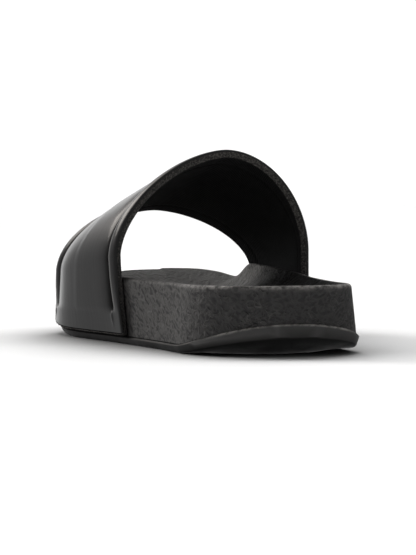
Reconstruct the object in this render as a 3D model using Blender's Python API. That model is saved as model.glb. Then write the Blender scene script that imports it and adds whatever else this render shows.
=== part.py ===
"""Sport slide sandal for the left foot: an outsole, a moulded footbed and one wide padded strap.

Stations run along the sole from the back of the heel (0) to the tip of the toe (SOLE_LENGTH).
The toe points to +Y and the medial, big-toe side is +X, so the lateral side is -X.
All lengths are in metres.
"""

import math

import bmesh
import bpy
from mathutils import Vector

# Outline of the outsole's lip, the widest line of the sole
SOLE_LENGTH = 0.280
HEEL_WIDTH = 0.0754
WAIST_WIDTH = 0.0832
BALL_WIDTH = 0.1000
HEEL_STATION = 0.14
WAIST_STATION = 0.42
BALL_STATION = 0.70
WAIST_LATERAL_SHARE = 0.516
BALL_LATERAL_SHARE = 0.517
HEEL_FULLNESS = 2.1
TOE_FULLNESS = 2.3
TIP_OFFSET = 0.012

# Outsole
OUTSOLE_THICKNESS = 0.0034
HEEL_TOP_RISE = 0.0102
HEEL_BEVEL_RISE = 0.0076
HEEL_RISE_LATERAL_LENGTH = 0.049
HEEL_RISE_MEDIAL_LENGTH = 0.062
HEEL_BEVEL_INSET = 0.025
TOE_SPRING = 0.0135
TOE_SPRING_LENGTH = 0.093
LIP_CHAMFER = 0.0006
LIP_ROUND = 0.0007
LIP_UNDERCUT = 0.0010
GROOVE_BORDER = 0.0065
GROOVE_PITCH = 0.0095
GROOVE_WIDTH = 0.0024
GROOVE_DEPTH = 0.0013
GROOVE_WAVE = 0.0028
GROOVE_WAVE_LENGTH = 0.026

# Footbed
PIECE_GAP = 0.0003
FOOTBED_SETBACK = 0.0012
RIM_SETBACK = 0.0031
RIM_SWELL = 0.0034
RIM_SWELL_SHARES = [(0.0, 0.0), (0.20, 0.0), (0.30, 0.36), (0.40, 1.0), (0.51, 0.97), (0.61, 0.76), (0.71, 0.40),
                    (0.80, 0.0), (1.0, 0.0)]
RIM_HEIGHT = 0.0283
RIM_ROUND = 0.0018
RIM_FLAT = 0.0010
RIM_FLAT_DROP = 0.0002
CUP_DEPTH = 0.0082
SPINE_START = 0.040
SPINE_END_FROM_TIP = 0.046
SPINE_END_OFFSET = 0.0084

# Strap
STRAP_GAP = 0.0005
STRAP_WALL = 0.0034
STRAP_END_WALL = 0.0030
STRAP_END_TAPER = 0.014
STRAP_REAR_BEVEL = 0.0013
STRAP_FRONT_BEVEL = 0.0004
STRAP_EDGE_ROUND = 0.0008
STRAP_HEIGHT = 0.0817
STRAP_SWEEP = 1.5
PANEL_RISE = 0.0004
BEAD_RISE = 0.0005
PINCH_INSET = 0.0102
PINCH_HALF_WIDTH = 0.0017
PINCH_DEPTH = 0.0015
PINCH_START = 0.010
PINCH_FADE = 0.008

# Mesh resolution and the sides' signs along X
STATION_STEPS = 48
STRAP_STEPS = 50
STRAP_PROBE_STEP = 0.004
LATERAL, MEDIAL = -1, 1

# First and last groove of each stretch of tread, shares of SOLE_LENGTH
TREAD_STRETCHES = [
    {"first": 0.11, "last": 0.34},
    {"first": 0.50, "last": 0.93},
]

# Rim and footbed along the sole.
# station: share of SOLE_LENGTH
# lateral, medial: rim height as a share of RIM_HEIGHT
# centre: depth of the footbed's middle below RIM_HEIGHT, as a share of CUP_DEPTH
# lateral_wall, medial_wall: how steeply the cup leaves the rim, low for a soft arch support
FOOTBED_SECTIONS = [
    {"station": 0.00, "lateral": 1.000, "medial": 1.000, "centre": 0.55, "lateral_wall": 4.0, "medial_wall": 4.0},
    {"station": 0.14, "lateral": 1.000, "medial": 1.000, "centre": 1.00, "lateral_wall": 4.0, "medial_wall": 4.0},
    {"station": 0.30, "lateral": 1.010, "medial": 1.030, "centre": 0.92, "lateral_wall": 3.8, "medial_wall": 3.0},
    {"station": 0.42, "lateral": 1.034, "medial": 1.088, "centre": 0.74, "lateral_wall": 3.6, "medial_wall": 2.8},
    {"station": 0.55, "lateral": 1.058, "medial": 1.103, "centre": 0.88, "lateral_wall": 3.8, "medial_wall": 3.2},
    {"station": 0.70, "lateral": 1.115, "medial": 1.130, "centre": 1.12, "lateral_wall": 4.4, "medial_wall": 4.6},
    {"station": 0.765, "lateral": 1.140, "medial": 1.150, "centre": 1.08, "lateral_wall": 4.8, "medial_wall": 5.2},
    {"station": 0.778, "lateral": 1.125, "medial": 1.130, "centre": 1.06, "lateral_wall": 4.6, "medial_wall": 5.0},
    {"station": 0.828, "lateral": 0.940, "medial": 0.932, "centre": 0.97, "lateral_wall": 3.8, "medial_wall": 4.0},
    {"station": 0.840, "lateral": 0.925, "medial": 0.915, "centre": 0.95, "lateral_wall": 3.6, "medial_wall": 3.8},
    {"station": 0.910, "lateral": 0.928, "medial": 0.990, "centre": 0.64, "lateral_wall": 3.0, "medial_wall": 3.0},
    {"station": 0.965, "lateral": 0.978, "medial": 1.028, "centre": 0.30, "lateral_wall": 2.6, "medial_wall": 2.6},
    {"station": 1.000, "lateral": 1.032, "medial": 1.032, "centre": 0.10, "lateral_wall": 2.6, "medial_wall": 2.6},
]

# The strap's inner face at its rear edge, halfway and at its front edge.
# place: 0 at the rear edge, 1 at the front edge
# lateral_foot, medial_foot, top: stations of the strap at the sole and over the instep, shares of SOLE_LENGTH
# height: inner height over the instep, share of STRAP_HEIGHT
# peak: sideways place of the highest line, share of BALL_WIDTH
# lateral_spring, medial_spring: height where each side starts to arch over, share of STRAP_HEIGHT
# lateral_flare, medial_flare: how far each side stands off the sole's side there, share of STRAP_WALL
# lateral_full, medial_full: fullness of each shoulder, 2 is an ellipse and less is flatter
STRAP_SECTIONS = [
    {"place": 0.0, "lateral_foot": 0.400, "top": 0.436, "medial_foot": 0.434, "height": 1.004, "peak": 0.062,
     "lateral_spring": 0.471, "medial_spring": 0.497, "lateral_flare": 0.55, "medial_flare": 0.00,
     "lateral_full": 1.64, "medial_full": 1.88},
    {"place": 0.5, "lateral_foot": 0.611, "top": 0.582, "medial_foot": 0.634, "height": 0.849, "peak": -0.014,
     "lateral_spring": 0.410, "medial_spring": 0.420, "lateral_flare": 0.30, "medial_flare": 0.10,
     "lateral_full": 1.69, "medial_full": 1.72},
    {"place": 1.0, "lateral_foot": 0.822, "top": 0.729, "medial_foot": 0.834, "height": 0.711, "peak": -0.080,
     "lateral_spring": 0.356, "medial_spring": 0.350, "lateral_flare": -0.50, "medial_flare": -0.48,
     "lateral_full": 1.80, "medial_full": 1.60},
]

# Share of each half of the strap's mesh that climbs the side before it arches over
STRAP_LEG = 0.36
# Columns of the strap from an edge to its middle: distance from the edge, then shares of what is left
EDGE_COLUMNS = [0.0, STRAP_EDGE_ROUND * 0.3, STRAP_EDGE_ROUND, PINCH_INSET * 0.5,
                PINCH_INSET - PINCH_HALF_WIDTH, PINCH_INSET, PINCH_INSET + PINCH_HALF_WIDTH * 1.6]
MIDDLE_SHARES = [0.12, 0.45]


def smooth(rows, place):
    """Curve through (place, value) rows that never overshoots them, level beyond both ends."""
    if place <= rows[0][0]:
        return rows[0][1]
    if place >= rows[-1][0]:
        return rows[-1][1]
    secants = [(b[1] - a[1]) / (b[0] - a[0]) for a, b in zip(rows, rows[1:])]
    slopes = [0.0]
    for before, after in zip(secants, secants[1:]):
        slopes.append(2 * before * after / (before + after) if before * after > 0 else 0.0)
    slopes.append(0.0)
    i = next(i for i in range(len(secants)) if place <= rows[i + 1][0])
    span = rows[i + 1][0] - rows[i][0]
    u = (place - rows[i][0]) / span
    start, end = rows[i][1], rows[i + 1][1]
    rise = end - start
    bend_in, bend_out = slopes[i] * span, slopes[i + 1] * span
    return start + u * bend_in + u * u * (3 * rise - 2 * bend_in - bend_out) + u ** 3 * (bend_in + bend_out - 2 * rise)


def mix(a, b, share):
    return a + (b - a) * share


def squircle(share, fullness):
    """Height of a rounded quarter, 1 where share is 0 and 0 where share is 1."""
    return (1 - min(1.0, max(0.0, share)) ** fullness) ** (1 / fullness)


def side_share(lateral_share, side):
    return lateral_share if side == LATERAL else 1 - lateral_share


def edge_x(station, side):
    """Sideways place of the outsole's lip at a station, on one side."""
    heel_end = HEEL_STATION * SOLE_LENGTH
    ball = BALL_STATION * SOLE_LENGTH
    heel_half = HEEL_WIDTH / 2
    if station <= heel_end:
        return side * heel_half * squircle(1 - station / heel_end, HEEL_FULLNESS)
    ball_half = BALL_WIDTH * side_share(BALL_LATERAL_SHARE, side)
    if station <= ball:
        waist_half = WAIST_WIDTH * side_share(WAIST_LATERAL_SHARE, side)
        rows = [(heel_end, heel_half), (WAIST_STATION * SOLE_LENGTH, waist_half), (ball, ball_half)]
        return side * smooth(rows, station)
    past_ball = (station - ball) / (SOLE_LENGTH - ball)
    return TIP_OFFSET + (side * ball_half - TIP_OFFSET) * squircle(past_ball, TOE_FULLNESS)


def heel_share(station, side):
    """How much of the heel's rise is left at a station. It runs further forward on the medial side."""
    length = HEEL_RISE_LATERAL_LENGTH if side == LATERAL else HEEL_RISE_MEDIAL_LENGTH
    return max(0.0, 1 - station / length) ** 2


def toe_lift(station):
    """How far the toe spring lifts the sole at a station."""
    past = max(0.0, station - (SOLE_LENGTH - TOE_SPRING_LENGTH))
    return TOE_SPRING * (past / TOE_SPRING_LENGTH) ** 2


def outsole_top(station, side):
    return OUTSOLE_THICKNESS + HEEL_TOP_RISE * heel_share(station, side) + toe_lift(station)


def outsole_under(station, side, inset):
    """Height of the underside, whose bevel round the heel runs out at HEEL_BEVEL_INSET from the edge."""
    bevel_share = math.cos(min(1.0, inset / HEEL_BEVEL_INSET) * math.pi / 2) ** 2
    return HEEL_BEVEL_RISE * heel_share(station, side) * bevel_share + toe_lift(station)


def footbed_value(column, station):
    rows = [(row["station"] * SOLE_LENGTH, row[column]) for row in FOOTBED_SECTIONS]
    return smooth(rows, station)


def rim_height(station, side):
    column = "lateral" if side == LATERAL else "medial"
    return RIM_HEIGHT * footbed_value(column, station)


def footbed_centre(station):
    return RIM_HEIGHT - CUP_DEPTH * footbed_value("centre", station)


def outline_loop():
    """The lip's outline as (x, station, side), up the lateral side and back down the medial side."""
    stations = [SOLE_LENGTH * (1 - math.cos(math.pi * i / STATION_STEPS)) / 2 for i in range(STATION_STEPS + 1)]
    up = [(edge_x(station, LATERAL), station, LATERAL) for station in stations]
    down = [(edge_x(station, MEDIAL), station, MEDIAL) for station in reversed(stations[1:-1])]
    return up + down


def inward_normals(loop):
    normals = []
    for k in range(len(loop)):
        before, after = loop[k - 1], loop[(k + 1) % len(loop)]
        along = Vector((after[0] - before[0], after[1] - before[1])).normalized()
        normals.append(Vector((along.y, -along.x)))
    return normals


def rim_swell(station, side):
    """How far the rim leans out where the strap is glued to the lateral side."""
    if side == MEDIAL:
        return 0.0
    return RIM_SWELL * smooth([(row[0] * SOLE_LENGTH, row[1]) for row in RIM_SWELL_SHARES], station)


def ring(loop, normals, inset, height, swell_share=0.0):
    """The outline drawn in by inset, less a share of the rim's swell, at the height height(station, side) gives."""
    points = []
    for (x, station, side), normal in zip(loop, normals):
        here = inset - swell_share * rim_swell(station, side)
        at = station + here * normal.y
        points.append(Vector((x + here * normal.x, at, height(at, side))))
    return points


def toward_spine(loop, edge_ring, share):
    """Places (x, station) between a ring and the line down the middle of the sole, which share 1 reaches."""
    spine_end = SOLE_LENGTH - SPINE_END_FROM_TIP
    places = []
    for edge, (_, station, _) in zip(edge_ring, loop):
        spine_at = min(max(station, SPINE_START), spine_end)
        spine_x = smooth([(SPINE_START, 0.0), (spine_end, SPINE_END_OFFSET)], spine_at)
        places.append((mix(edge.x, spine_x, share), mix(edge.y, spine_at, share)))
    return places


def mesh_from_rings(name, rings, cap_first, cap_last):
    """Skins a stack of equal rings. A cap joins the two sides of a ring with strips across the sole."""
    mesh = bmesh.new()
    rows = [[mesh.verts.new(point) for point in points] for points in rings]
    count = len(rings[0])
    for below, above in zip(rows, rows[1:]):
        for k in range(count):
            after = (k + 1) % count
            mesh.faces.new((below[k], below[after], above[after], above[k]))
    for row in ([rows[0]] if cap_first else []) + ([rows[-1]] if cap_last else []):
        for i in range(count // 2):
            corners = [row[i], row[i + 1], row[(count - i - 1) % count], row[(count - i) % count]]
            mesh.faces.new(list(dict.fromkeys(corners)))
    return finish_mesh(name, mesh)


def finish_mesh(name, mesh):
    """Merges doubled points, points the faces outwards and makes the object."""
    bmesh.ops.remove_doubles(mesh, verts=mesh.verts, dist=1e-6)
    bmesh.ops.triangulate(mesh, faces=mesh.faces)
    bmesh.ops.dissolve_degenerate(mesh, dist=1e-7, edges=mesh.edges)
    bmesh.ops.recalc_face_normals(mesh, faces=mesh.faces)
    data = bpy.data.meshes.new(name)
    mesh.to_mesh(data)
    mesh.free()
    data.shade_smooth()
    data.set_sharp_from_angle(angle=math.radians(35))
    made = bpy.data.objects.new(name, data)
    bpy.context.scene.collection.objects.link(made)
    return made


def groove_cutter():
    """Wavy bars across the tread, and one wide bar that hollows the arch between heel and forefoot."""
    mesh = bmesh.new()

    def bar(station, width):
        left = edge_x(station, LATERAL) + GROOVE_BORDER
        right = edge_x(station, MEDIAL) - GROOVE_BORDER
        steps = math.ceil((right - left) / (GROOVE_WAVE_LENGTH / 4))
        top = toe_lift(station) + GROOVE_DEPTH
        below = top - 4 * GROOVE_DEPTH
        rows = []
        for i in range(steps + 1):
            x = mix(left, right, i / steps)
            middle = station + GROOVE_WAVE * math.cos(math.tau * x / GROOVE_WAVE_LENGTH)
            corners = ((-width / 2, below), (width / 2, below), (width / 2, top), (-width / 2, top))
            rows.append([mesh.verts.new((x, middle + dy, z)) for dy, z in corners])
        for before, after in zip(rows, rows[1:]):
            for j in range(4):
                mesh.faces.new((before[j], before[(j + 1) % 4], after[(j + 1) % 4], after[j]))
        mesh.faces.new(rows[0])
        mesh.faces.new(rows[-1])

    for stretch in TREAD_STRETCHES:
        first, last = stretch["first"] * SOLE_LENGTH, stretch["last"] * SOLE_LENGTH
        count = int((last - first) / GROOVE_PITCH)
        for i in range(count + 1):
            bar(mix(first, last, i / count), GROOVE_WIDTH)
    heel_stretch, forefoot_stretch = TREAD_STRETCHES
    arch_start = heel_stretch["last"] * SOLE_LENGTH
    arch_end = forefoot_stretch["first"] * SOLE_LENGTH
    bar((arch_start + arch_end) / 2, arch_end - arch_start - 2 * (GROOVE_PITCH - GROOVE_WIDTH))
    cutter = finish_mesh("tread_groove_cutter", mesh)
    cutter.hide_render = True
    cutter.display_type = "WIRE"
    return cutter


def make_outsole(loop, normals):
    rings = [
        ring(loop, normals, LIP_CHAMFER, outsole_top),
        ring(loop, normals, 0.0, lambda at, side: outsole_top(at, side) - LIP_CHAMFER),
        ring(loop, normals, LIP_UNDERCUT, lambda at, side: outsole_under(at, side, 0.0) + LIP_ROUND),
        ring(loop, normals, LIP_UNDERCUT + LIP_ROUND, lambda at, side: outsole_under(at, side, 0.0)),
    ]
    start = rings[-1]
    for part_way in (0.28, 0.52, 0.76, 1.0):
        inset = HEEL_BEVEL_INSET * part_way
        points = []
        for (_, _, side), (x, at) in zip(loop, toward_spine(loop, start, inset / SPINE_START)):
            points.append(Vector((x, at, outsole_under(at, side, inset))))
        rings.append(points)
    outsole = mesh_from_rings("outsole", rings, cap_first=True, cap_last=True)
    cut = outsole.modifiers.new("tread_grooves", "BOOLEAN")
    cut.operation = "DIFFERENCE"
    cut.solver = "EXACT"
    cut.object = groove_cutter()
    return outsole


def footbed_side_height(share):
    """Height on the footbed's side wall, from its foot (share 0) to where the rim starts to round (1)."""
    def height(at, side):
        return mix(outsole_top(at, side) + PIECE_GAP, rim_height(at, side) - RIM_ROUND, share)
    return height


def make_footbed(loop, normals):
    rings = [ring(loop, normals, mix(FOOTBED_SETBACK, RIM_SETBACK, share), footbed_side_height(share), share)
             for share in (0.0, 0.35, 0.7, 1.0)]
    for degrees in (35, 65, 90):
        angle = math.radians(degrees)
        inset = RIM_SETBACK + RIM_ROUND * (1 - math.cos(angle))
        drop = RIM_ROUND * (1 - math.sin(angle))
        rings.append(ring(loop, normals, inset, lambda at, side, drop=drop: rim_height(at, side) - drop, 1.0))
    brow = RIM_SETBACK + RIM_ROUND + RIM_FLAT
    rings.append(ring(loop, normals, brow, lambda at, side: rim_height(at, side) - RIM_FLAT_DROP, 1.0))
    start = rings[-1]
    for share in (0.045, 0.10, 0.17, 0.27, 0.40, 0.56, 0.76, 1.0):
        points = []
        for edge, (_, _, side), (x, at) in zip(start, loop, toward_spine(loop, start, share)):
            wall = footbed_value("lateral_wall" if side == LATERAL else "medial_wall", edge.y)
            centre = footbed_centre(at)
            points.append(Vector((x, at, centre + (edge.z - centre) * (1 - share) ** wall)))
        rings.append(points)
    return mesh_from_rings("footbed", rings, cap_first=True, cap_last=False)


def strap_row(place):
    """The strap's section values at a place between its rear edge (0) and its front edge (1)."""
    rear, middle, front = STRAP_SECTIONS
    weights = ((1 - place) * (1 - 2 * place), 4 * place * (1 - place), place * (2 * place - 1))
    return {key: sum(weight * row[key] for weight, row in zip(weights, (rear, middle, front))) for key in rear}


def strap_inner(along, place):
    """A point on the strap's inner face: along runs from the lateral end (0) over the top (0.5) to the medial (1)."""
    row = strap_row(place)
    side = LATERAL if along <= 0.5 else MEDIAL
    name = "lateral" if side == LATERAL else "medial"
    up = 2 * min(along, 1 - along)
    foot_station = row[f"{name}_foot"] * SOLE_LENGTH
    foot_height = outsole_top(foot_station, side) + PIECE_GAP
    spring_height = row[f"{name}_spring"] * STRAP_HEIGHT
    top_height = row["height"] * STRAP_HEIGHT
    if up < STRAP_LEG:
        rise = up / STRAP_LEG
        height = mix(foot_height, spring_height, rise)
        lean = math.sin(rise * math.pi / 2)
        arch = 0.0
    else:
        angle = (up - STRAP_LEG) / (1 - STRAP_LEG) * math.pi / 2
        full = row[f"{name}_full"]
        height = mix(spring_height, top_height, math.sin(angle) ** (2 / full))
        lean = 1.0
        arch = 1 - math.cos(angle) ** (2 / full)
    climbed = (height - foot_height) / (top_height - foot_height)
    station = mix(foot_station, row["top"] * SOLE_LENGTH, climbed ** STRAP_SWEEP)
    foot_x = edge_x(station, side) - side * (FOOTBED_SETBACK - STRAP_GAP)
    side_x = foot_x + side * STRAP_WALL * row[f"{name}_flare"] * lean
    return Vector((mix(side_x, row["peak"] * BALL_WIDTH, arch), station, height))


def strap_outward(along, place):
    """Direction through the strap's wall at a point, from the inner face outwards, level at both ends."""
    step = STRAP_PROBE_STEP
    across = strap_inner(along, min(1.0, place + step)) - strap_inner(along, max(0.0, place - step))
    around = strap_inner(min(1.0, along + step), place) - strap_inner(max(0.0, along - step), place)
    outward = around.cross(across)
    if along in (0.0, 1.0):
        outward.z = 0.0
    return outward.normalized()


def strap_wall(from_edge, from_end, width):
    """Wall thickness: rolled at the edges, pinched along both, padded between, thin at the ends."""
    ease = min(1.0, from_end / STRAP_END_TAPER)
    wall = mix(STRAP_END_WALL, STRAP_WALL, ease * ease * (3 - 2 * ease))
    if from_edge < STRAP_EDGE_ROUND:
        wall -= STRAP_EDGE_ROUND * (1 - squircle(1 - from_edge / STRAP_EDGE_ROUND, 2))
    pinch = math.exp(-(((from_edge - PINCH_INSET) / PINCH_HALF_WIDTH) ** 2))
    padded = min(1.0, max(0.0, (from_end - PINCH_START) / PINCH_FADE))
    swell = BEAD_RISE if from_edge < PINCH_INSET else PANEL_RISE * math.sin(
        min(1.0, (from_edge - PINCH_INSET) / (width / 2 - PINCH_INSET)) * math.pi / 2)
    return wall + padded * (swell - PINCH_DEPTH * pinch)


def strap_columns(width):
    """Distances across the strap from its rear edge, the same from both edges."""
    last = EDGE_COLUMNS[-1]
    half = EDGE_COLUMNS + [mix(last, width / 2, share) for share in MIDDLE_SHARES]
    return half + [width / 2] + [width - distance for distance in reversed(half)]


def make_strap():
    mesh = bmesh.new()
    rows = []
    steps = [i / STRAP_STEPS for i in range(STRAP_STEPS + 1)]
    lengths = [0.0]
    for before, after in zip(steps, steps[1:]):
        lengths.append(lengths[-1] + (strap_inner(after, 0.5) - strap_inner(before, 0.5)).length)
    for along, length in zip(steps, lengths):
        width = (strap_inner(along, 1.0) - strap_inner(along, 0.0)).length
        from_end = min(length, lengths[-1] - length)
        outer, inner = [], []
        for distance in strap_columns(width):
            place = distance / width
            from_edge = min(distance, width - distance)
            wall = strap_wall(from_edge, from_end, width)
            outer.append(mesh.verts.new(strap_inner(along, place) + wall * strap_outward(along, place)))
            inner_place = mix(STRAP_REAR_BEVEL / width, 1 - STRAP_FRONT_BEVEL / width, place)
            inner.append(mesh.verts.new(strap_inner(along, inner_place)))
        rows.append(outer + inner[::-1])
    count = len(rows[0])
    for before, after in zip(rows, rows[1:]):
        for j in range(count):
            mesh.faces.new((before[j], before[(j + 1) % count], after[(j + 1) % count], after[j]))
    for row in (rows[0], rows[-1]):
        for j in range(count // 2 - 1):
            mesh.faces.new((row[j], row[j + 1], row[count - 2 - j], row[count - 1 - j]))
    return finish_mesh("strap", mesh)


def finish_with(made, name, colour, roughness):
    material = bpy.data.materials.new(name)
    material.use_nodes = True
    shader = material.node_tree.nodes["Principled BSDF"]
    shader.inputs["Base Color"].default_value = (*colour, 1.0)
    shader.inputs["Roughness"].default_value = roughness
    shader.inputs["Metallic"].default_value = 0.0
    made.data.materials.append(material)


def centre_on_floor(pieces):
    """Parents the pieces to an empty that brings the middle of their box to the origin, standing on the floor."""
    corners = [vertex.co for piece in pieces for vertex in piece.data.vertices]
    middle_x = (min(c.x for c in corners) + max(c.x for c in corners)) / 2
    middle_y = (min(c.y for c in corners) + max(c.y for c in corners)) / 2
    holder = bpy.data.objects.new("sandal", None)
    bpy.context.scene.collection.objects.link(holder)
    holder.location = (-middle_x, -middle_y, 0.0)
    for piece in pieces:
        piece.parent = holder


def main():
    for old in list(bpy.data.objects):
        bpy.data.objects.remove(old, do_unlink=True)
    loop = outline_loop()
    normals = inward_normals(loop)
    outsole = make_outsole(loop, normals)
    footbed = make_footbed(loop, normals)
    strap = make_strap()
    finish_with(outsole, "black_rubber", (0.028, 0.028, 0.029), 0.62)
    finish_with(footbed, "black_leather_grain_foam", (0.034, 0.033, 0.034), 0.55)
    finish_with(strap, "black_coated_fabric", (0.030, 0.029, 0.031), 0.38)
    centre_on_floor([outsole, footbed, strap])
    outsole.modifiers["tread_grooves"].object.parent = outsole.parent


main()
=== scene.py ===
# %% [markdown]
# # A sport slide sandal, dressed around its solids
#
# A slide is three things glued together: a thin rubber outsole, a thick moulded footbed, and one
# wide padded strap. The solids of all three are already fixed in real size. This notebook makes
# what the eye sees: the leather grain of the foam, the satin cover of the strap with its welded
# grooves, the textile edge, the lining, and the light. Every piece is placed in metres, in the
# frame of the solids, so nothing has to be fitted afterwards.

# %% Load the frame
import math

import bmesh
import bpy
import numpy as np
from mathutils import Matrix, Vector, noise


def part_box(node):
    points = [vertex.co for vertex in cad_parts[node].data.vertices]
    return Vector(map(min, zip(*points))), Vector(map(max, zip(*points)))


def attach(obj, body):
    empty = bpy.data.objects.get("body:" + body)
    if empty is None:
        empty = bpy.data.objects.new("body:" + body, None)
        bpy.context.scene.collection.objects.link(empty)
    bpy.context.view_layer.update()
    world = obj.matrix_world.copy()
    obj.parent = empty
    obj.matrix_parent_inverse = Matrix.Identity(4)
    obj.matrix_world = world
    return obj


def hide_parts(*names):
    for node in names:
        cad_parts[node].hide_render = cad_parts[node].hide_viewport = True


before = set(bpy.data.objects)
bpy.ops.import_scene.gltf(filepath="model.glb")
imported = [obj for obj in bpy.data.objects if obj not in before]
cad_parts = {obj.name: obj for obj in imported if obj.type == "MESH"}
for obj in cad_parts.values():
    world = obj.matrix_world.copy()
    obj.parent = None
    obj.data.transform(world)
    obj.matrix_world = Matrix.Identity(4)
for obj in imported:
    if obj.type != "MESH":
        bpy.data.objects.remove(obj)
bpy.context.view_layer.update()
sole_low, sole_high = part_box("outsole")
strap_low, strap_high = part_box("strap")
print("nodes:", sorted(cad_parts))

# %% [markdown]
# ## The shoe's own sizes
#
# A shoe is drawn along stations, from the back of the heel to the tip of the toe. The length comes
# from the outsole's box. Widths and heights are the maker's sizes, in metres. Short tables hold the
# sections of the footbed and the strap as shares of those sizes, so one change moves all of it.

# %% Named sizes
SOLE_LENGTH = sole_high.y - sole_low.y
HEEL_WIDTH = 0.0754
WAIST_WIDTH = 0.0832
BALL_WIDTH = 0.1000
HEEL_STATION, WAIST_STATION, BALL_STATION = 0.14, 0.42, 0.70
WAIST_LATERAL_SHARE = 0.516
BALL_LATERAL_SHARE = 0.517
HEEL_FULLNESS, TOE_FULLNESS = 2.1, 2.3
TIP_OFFSET = 0.012

OUTSOLE_THICKNESS = 0.0034
HEEL_TOP_RISE = 0.0102
HEEL_RISE_LATERAL_LENGTH = 0.049
HEEL_RISE_MEDIAL_LENGTH = 0.062
TOE_SPRING = 0.0135
TOE_SPRING_LENGTH = 0.093

PIECE_GAP = 0.0003
FOOTBED_SETBACK = 0.0012
RIM_SETBACK = 0.0031
RIM_SWELL = 0.0034
RIM_SWELL_SHARES = [(0.0, 0.0), (0.20, 0.0), (0.30, 0.36), (0.40, 1.0), (0.51, 0.97), (0.61, 0.76),
                    (0.71, 0.40), (0.80, 0.0), (1.0, 0.0)]
RIM_HEIGHT = 0.0283
RIM_ROUND = 0.0018
RIM_FLAT = 0.0010
RIM_FLAT_DROP = 0.12 * RIM_ROUND
CUP_DEPTH = 0.0082
CUP_CROWDING = 1.45
SPINE_START = 0.040
SPINE_END_FROM_TIP = 0.046
SPINE_END_SHARE = 0.7

LATERAL, MEDIAL = -1.0, 1.0
SHIFT = np.array([sole_low.x + BALL_WIDTH * BALL_LATERAL_SHARE, sole_low.y, sole_low.z])
print("length", round(SOLE_LENGTH, 4), "shift", SHIFT.round(5))

# %% [markdown]
# ## Curves through a few stations
#
# A maker draws a sole with a spline through a few known widths, and never lets it bulge past them.
# The same idea in code is a monotone cubic curve. Worked on whole arrays at once it is fast enough
# for meshes of tens of thousands of points.

# %% Curve helpers


def curve_through(rows, places):
    """Values at places on a curve through (place, value) rows that never overshoots them."""
    at = np.array([row[0] for row in rows], float)
    values = np.array([row[1] for row in rows], float)
    secants = np.diff(values) / np.diff(at)
    slopes = np.zeros(len(rows))
    before, after = secants[:-1], secants[1:]
    same_way = before * after > 0
    slopes[1:-1][same_way] = 2 * (before * after)[same_way] / (before + after)[same_way]
    places = np.clip(places, at[0], at[-1])
    i = np.clip(np.searchsorted(at, places, side="right") - 1, 0, len(secants) - 1)
    span = at[i + 1] - at[i]
    u = (places - at[i]) / span
    rise = values[i + 1] - values[i]
    bend_in, bend_out = slopes[i] * span, slopes[i + 1] * span
    return (values[i] + u * bend_in + u * u * (3 * rise - 2 * bend_in - bend_out)
            + u ** 3 * (bend_in + bend_out - 2 * rise))


def mix(a, b, share):
    """A value between a, at share 0, and b, at share 1."""
    return a + (b - a) * share


def squircle(share, fullness):
    """Height of a rounded quarter, 1 where share is 0 and 0 where share is 1."""
    return (1 - np.clip(share, 0, 1) ** fullness) ** (1 / fullness)


def ease(share):
    """Rises smoothly from 0 to 1 as share does."""
    share = np.clip(share, 0, 1)
    return share * share * (3 - 2 * share)


# %% The sole's outline and heights


def edge_x(station, side):
    """Sideways place of the outsole's lip at a station, on one side."""
    heel_end, ball = HEEL_STATION * SOLE_LENGTH, BALL_STATION * SOLE_LENGTH
    heel = HEEL_WIDTH / 2 * squircle(1 - station / heel_end, HEEL_FULLNESS)
    middles = []
    halves = []
    for waist_share, ball_share in ((WAIST_LATERAL_SHARE, BALL_LATERAL_SHARE),
                                    (1 - WAIST_LATERAL_SHARE, 1 - BALL_LATERAL_SHARE)):
        rows = [(heel_end, HEEL_WIDTH / 2), (WAIST_STATION * SOLE_LENGTH, WAIST_WIDTH * waist_share),
                (ball, BALL_WIDTH * ball_share)]
        middles.append(curve_through(rows, station))
        halves.append(BALL_WIDTH * ball_share)
    middle = np.where(side < 0, middles[0], middles[1])
    ball_half = np.where(side < 0, halves[0], halves[1])
    past_ball = (station - ball) / (SOLE_LENGTH - ball)
    toe = TIP_OFFSET + (side * ball_half - TIP_OFFSET) * squircle(past_ball, TOE_FULLNESS)
    return np.where(station <= heel_end, side * heel, np.where(station <= ball, side * middle, toe))


def heel_share(station, side=LATERAL):
    """How much of the heel's rise is left at a station. It runs further forward on the medial side."""
    length = np.where(side < 0, HEEL_RISE_LATERAL_LENGTH, HEEL_RISE_MEDIAL_LENGTH)
    return np.clip(1 - station / length, 0, None) ** 2


def toe_lift(station):
    """How far the toe spring lifts the sole at a station."""
    past = np.clip(station - (SOLE_LENGTH - TOE_SPRING_LENGTH), 0, None)
    return TOE_SPRING * (past / TOE_SPRING_LENGTH) ** 2


def outsole_top(station, side=LATERAL):
    return OUTSOLE_THICKNESS + HEEL_TOP_RISE * heel_share(station, side) + toe_lift(station)


OUTLINE_STEPS = 170
stations = SOLE_LENGTH * (1 - np.cos(math.pi * np.arange(OUTLINE_STEPS + 1) / OUTLINE_STEPS)) / 2
outline_station = np.concatenate([stations, stations[-2:0:-1]])
outline_side = np.concatenate([np.full(OUTLINE_STEPS + 1, LATERAL), np.full(OUTLINE_STEPS - 1, MEDIAL)])
outline_x = edge_x(outline_station, outline_side)
along_x = np.roll(outline_x, -1) - np.roll(outline_x, 1)
along_y = np.roll(outline_station, -1) - np.roll(outline_station, 1)
along_length = np.hypot(along_x, along_y)
inward_x, inward_y = along_y / along_length, -along_x / along_length
print("outline points:", len(outline_x))

# %% [markdown]
# ## Rings
#
# Sole pieces are stacks of rings: the outline drawn inwards, step by step, each ring at its own
# height. It is how a last maker thinks too, in contours. Between the rim and the middle line the
# rings shrink towards a spine, so the last one closes the surface with no pole.

# %% Ring and mesh helpers


JOIN_WITHIN = 1e-6

swell_rows = [(place * SOLE_LENGTH, share) for place, share in RIM_SWELL_SHARES]
rim_swell = np.where(outline_side > 0, 0.0, RIM_SWELL * curve_through(swell_rows, outline_station))


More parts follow.
